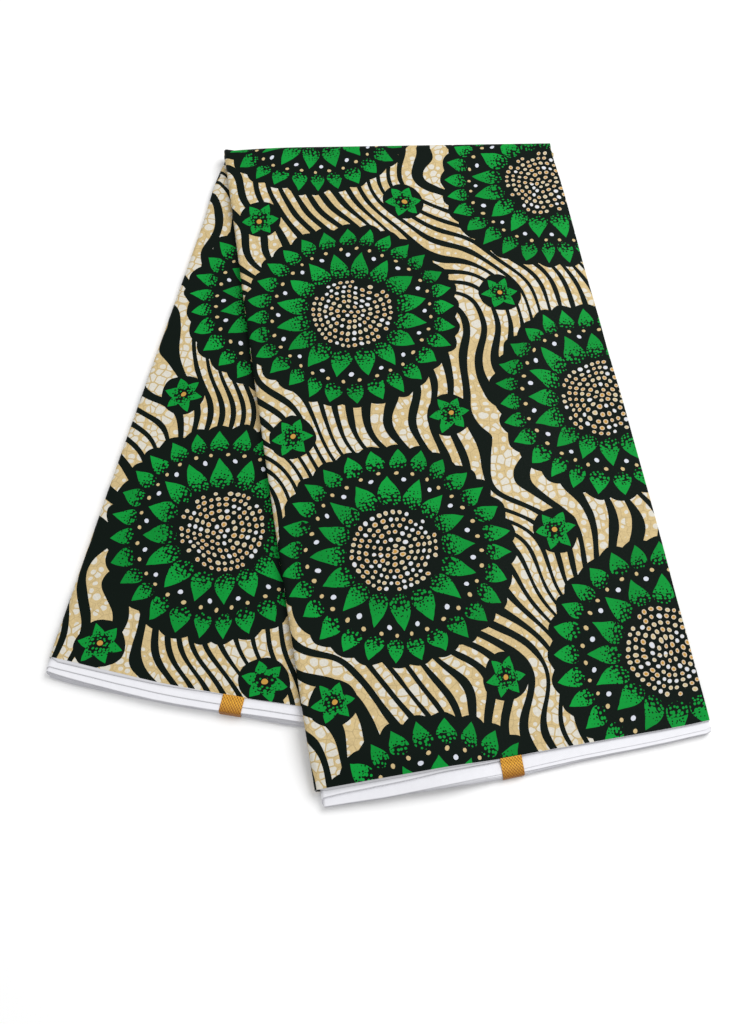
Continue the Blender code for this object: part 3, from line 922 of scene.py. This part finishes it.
def white_cotton(name, colours):
    """Bleached undyed cotton of the selvedge: matt, with a flatter weave, and with painted shade: grey beside
    the print's step and a painted shadow along the leaves' edges."""
    material, add, shader = new_material(name)
    cloth = unfolded_place(add)
    mottle = add("TexNoise", {"Vector": cloth, "Scale": 1 / 5.0, "Detail": 4.0}, noise_dimensions="2D")
    shades = {0: mottle, 6: paint(colours.selvedge, 0.93), 7: paint(colours.selvedge)}
    colour = add("Mix", shades, out=2, data_type="RGBA")
    # Darkened by the painted shade that each piece carries
    left = add("SUBTRACT", [1.0, add("Attribute", out="Fac", attribute_name="grey")])
    set_inputs(shader, {
        "Base Color": add("VectorMath.SCALE", {0: colour, 3: left}),
        "Roughness": add("MapRange", [mottle, 0.0, 1.0, 0.8, 0.92]),
        "Specular IOR Level": 0.3,
        "Normal": plain_weave(add, cloth, 0.2),
    })
    return material


def gold_twill(name, colours, sizes):
    """Lustrous amber rayon twill of the woven bands: crossed diagonal ribs with dark gaps between them, and
    painted shade that darkens it towards brown where the band turns down."""
    material, add, shader = new_material(name)
    cloth = unfolded_place(add)
    parts = add("SeparateXYZ", [cloth]).node
    across, along = parts.outputs[0], parts.outputs[1]
    steep = add("MULTIPLY", [across, RIB_STEEPNESS])
    turns = 2 * math.pi / (sizes.rib / MM)
    crossings = (add(way, [steep, along]) for way in ("ADD", "SUBTRACT"))
    weak, strong = (add("SINE", [add("MULTIPLY", [crossing, turns])]) for crossing in crossings)
    rib = add("MULTIPLY_ADD", [weak, 0.6, strong])
    thread = add("TexNoise", {"Vector": cloth, "Scale": 1 / 1.2, "Detail": 1.0}, noise_dimensions="2D")
    height = add("MULTIPLY_ADD", [thread, 2.2, rib])
    share = add("MapRange", [height, -0.9, 2.9])
    # Painted shade: the band is darkened towards the gaps' brown where it turns down
    down = add("MapRange", [along, *TURN_DOWN, 0.0, 0.78])
    colour = brown = paint(colours.band_shade)
    for mask, over in ((share, paint(colours.band)), (down, brown)):
        colour = add("Mix", {0: mask, 6: colour, 7: over}, out=2, data_type="RGBA")
    set_inputs(shader, {
        "Base Color": colour,
        "Roughness": add("MapRange", [share, 0.0, 1.0, 0.62, 0.42]),
        "Specular IOR Level": 0.3,
        "Normal": add("Bump", {"Height": height, "Strength": 0.5, "Distance": 0.00015}),
    })
    return material


def length_property(name, description, default, precision=4, **limits):
    return bpy.props.FloatProperty(
        name=name, description=description, default=default, precision=precision, unit="LENGTH",
        subtype="DISTANCE", **limits,
    )


class ClothSizes(bpy.types.PropertyGroup):
    """The sizes of the cloth and its print that a user may change."""

    leaf: length_property(
        "Leaf Thickness", "Thickness of one leaf of the cloth", 0.0004, precision=5, min=0.0002, max=0.00045
    )
    unevenness: length_property(
        "Fold Unevenness", "How far the folded edges at the right side lie in", 0.0009, min=0, max=0.002
    )
    tab: length_property("Band Thickness", "Thickness of the woven bands", 0.0006, min=0.0003, max=0.001)
    # Real ribs lie about 1 mm apart, too fine to show in the render, so they are drawn coarser
    rib: length_property("Twill Rib", "Distance between the bands' ribs", 0.0028, min=0.0005, max=0.003)
    repeat_across: length_property(
        "Repeat Across", "Distance between the columns of flower heads", 0.198, min=0.18, max=0.3
    )
    repeat_along: length_property(
        "Repeat Along", "Distance between the flower heads of one column", 0.228, min=0.2, max=0.3
    )
    shift_across: length_property("Shift Across", "How far the print is moved across the strip", 0.100)
    shift_along: length_property("Shift Along", "How far the print is moved along the strip", 0.080)


def colour_property(name, description, code):
    return bpy.props.FloatVectorProperty(
        name=name, description=description, default=linear(code), min=0, max=1, size=3, subtype="COLOR"
    )


class ClothColours(bpy.types.PropertyGroup):
    """The colours of the dyes, the bare cotton and the woven bands."""

    ink: colour_property("Black Ink", "Ground of the flower heads and the wavy lines", "#09130e")
    leaf: colour_property("Leaf Green", "Petals", "#0a8e35")
    ground: colour_property("Tan", "Crackled ground", "#c6b081")
    pebble: colour_property("Resist White", "Pebbles where the wax resisted the dye", "#d3cfc3")
    dot_gold: colour_property("Dot Gold", "The warmer dots", "#bf9143")
    dot_cool: colour_property("Dot White", "The cooler dots", "#cfd3dd")
    selvedge: colour_property("Selvedge White", "Bare cotton at both ends", "#ededf2")
    band: colour_property("Band Amber", "Threads of the woven bands", "#f8b83a")
    # The same brown is painted as shade where the bands turn down
    band_shade: colour_property("Band Brown", "Gaps between the bands' ribs", "#7a4208")


class ANKARA_OT_printed_leaves(bpy.types.Operator):
    """Lay the printed outer leaf of each leg, round its left fold and over the fold across"""

    bl_idname = "ankara.printed_leaves"
    bl_label = "Printed Leaves"

    def execute(self, context):
        sizes, colours = context.scene.ankara_sizes, context.scene.ankara_colours
        print_look = printed_cotton("wax_printed_cotton", colours, sizes)
        white_look = white_cotton("bleached_selvedge_cotton", colours)
        for leg in LEGS:
            make_printed_leaf(leg, [print_look, white_look], sizes)
        return {"FINISHED"}


class ANKARA_OT_folded_layers(bpy.types.Operator):
    """Fill each leg with its folded layers, whose edges show at the right side"""

    bl_idname = "ankara.folded_layers"
    bl_label = "Folded Layers"

    def execute(self, context):
        look = bpy.data.materials["wax_printed_cotton"]
        for leg in LEGS:
            make_layers(leg, look, context.scene.ankara_sizes)
        return {"FINISHED"}


class ANKARA_OT_selvedges(bpy.types.Operator):
    """Fan out the white leaf ends beyond the print"""

    bl_idname = "ankara.selvedges"
    bl_label = "White Selvedges"

    def execute(self, context):
        look, sizes = bpy.data.materials["bleached_selvedge_cotton"], context.scene.ankara_sizes
        for leg, groups in ((FRONT, ("upper", "middle", "lower")), (BACK, ("upper", "lower"))):
            for group in groups:
                make_selvedge(leg, group, look, sizes)
        return {"FINISHED"}


class ANKARA_OT_woven_bands(bpy.types.Operator):
    """Fold a woven band over each selvedge"""

    bl_idname = "ankara.woven_bands"
    bl_label = "Woven Bands"

    def execute(self, context):
        sizes = context.scene.ankara_sizes
        look = gold_twill("amber_twill", context.scene.ankara_colours, sizes)
        for leg in LEGS:
            make_tab(leg, look, sizes)
        return {"FINISHED"}


class ANKARA_OT_stage(bpy.types.Operator):
    """Set the pale floor, the soft studio light and the camera"""

    bl_idname = "ankara.stage"
    bl_label = "Stage"

    def execute(self, context):
        make_floor()
        make_lights(context.scene)
        make_camera(context.scene)
        return {"FINISHED"}


def make_floor():
    """Matt white paper, which takes a soft shadow and gives almost no reflection."""
    bpy.ops.object.select_all(action="DESELECT")
    bpy.ops.mesh.primitive_plane_add(size=8, location=(0, 0, -0.0001))
    floor = bpy.context.object
    floor.name = "studio_floor"
    material, _, shader = new_material("matt_white_paper")
    set_inputs(shader, {"Base Color": (0.995, 0.995, 0.995, 1), "Roughness": 0.9, "Specular IOR Level": 0.1})
    floor.data.materials.append(material)


def make_lights(scene):
    """An even white surround, and a large soft lamp behind the cloth at the right."""
    scene.view_settings.view_transform = "Standard"
    scene.world = bpy.data.worlds.new("soft_studio")
    scene.world.use_nodes = True
    set_inputs(scene.world.node_tree.nodes["Background"], {"Color": (1, 1, 1, 1), "Strength": 0.68})
    light = bpy.data.lights.new("key_light", "AREA")
    light.shape = "DISK"
    light.size = 1.5
    light.energy = 29.4
    lamp = bpy.data.objects.new("key_light", light)
    lamp.location = (1.05, 0.675, 1.75)
    lamp.rotation_euler = (-lamp.location).to_track_quat("-Z", "Y").to_euler()
    scene.collection.objects.link(lamp)


def make_camera(scene):
    """The photograph's view: 66.4 degrees down, from just left of square."""
    heading, height, distance = math.radians(1.16), math.radians(66.41), 0.8895
    looked_at = Vector((0.0049, -0.0694, 0))
    flat = math.cos(height)
    forward = Vector((flat * math.sin(heading), flat * math.cos(heading), -math.sin(height)))
    lens = bpy.data.cameras.new("camera")
    lens.lens = 37.87
    lens.sensor_width = 36
    lens.clip_end = 20
    camera = bpy.data.objects.new("camera", lens)
    camera.location = looked_at - forward * distance
    camera.rotation_euler = forward.to_track_quat("-Z", "Y").to_euler()
    scene.collection.objects.link(camera)
    scene.camera = camera


class ANKARA_PT_panel(bpy.types.Panel):
    """Lists the parts of the folded fabric"""

    bl_idname = "ANKARA_PT_panel"
    bl_label = "Ankara Fabric"
    bl_space_type = "VIEW_3D"
    bl_region_type = "UI"
    bl_category = "Ankara Fabric"

    def draw(self, context):
        for group in (context.scene.ankara_sizes, context.scene.ankara_colours):
            column = self.layout.column(align=True)
            for name in group.bl_rna.properties.keys():
                if name not in {"rna_type", "name"}:
                    column.prop(group, name)
        for operator in OPERATORS:
            self.layout.operator(operator.bl_idname)


OPERATORS = (
    ANKARA_OT_printed_leaves,
    ANKARA_OT_folded_layers,
    ANKARA_OT_selvedges,
    ANKARA_OT_woven_bands,
    ANKARA_OT_stage,
)
CLASSES = (ClothSizes, ClothColours, *OPERATORS, ANKARA_PT_panel)


def register():
    for item in CLASSES:
        bpy.utils.register_class(item)
    bpy.types.Scene.ankara_sizes = bpy.props.PointerProperty(type=ClothSizes)
    bpy.types.Scene.ankara_colours = bpy.props.PointerProperty(type=ClothColours)


def unregister():
    del bpy.types.Scene.ankara_colours
    del bpy.types.Scene.ankara_sizes
    for item in reversed(CLASSES):
        bpy.utils.unregister_class(item)


def main():
    register()
    bpy.ops.ankara.printed_leaves()
    bpy.ops.ankara.folded_layers()
    bpy.ops.ankara.selvedges()
    bpy.ops.ankara.woven_bands()
    bpy.ops.ankara.stage()


if __name__ == "__main__":
    main()
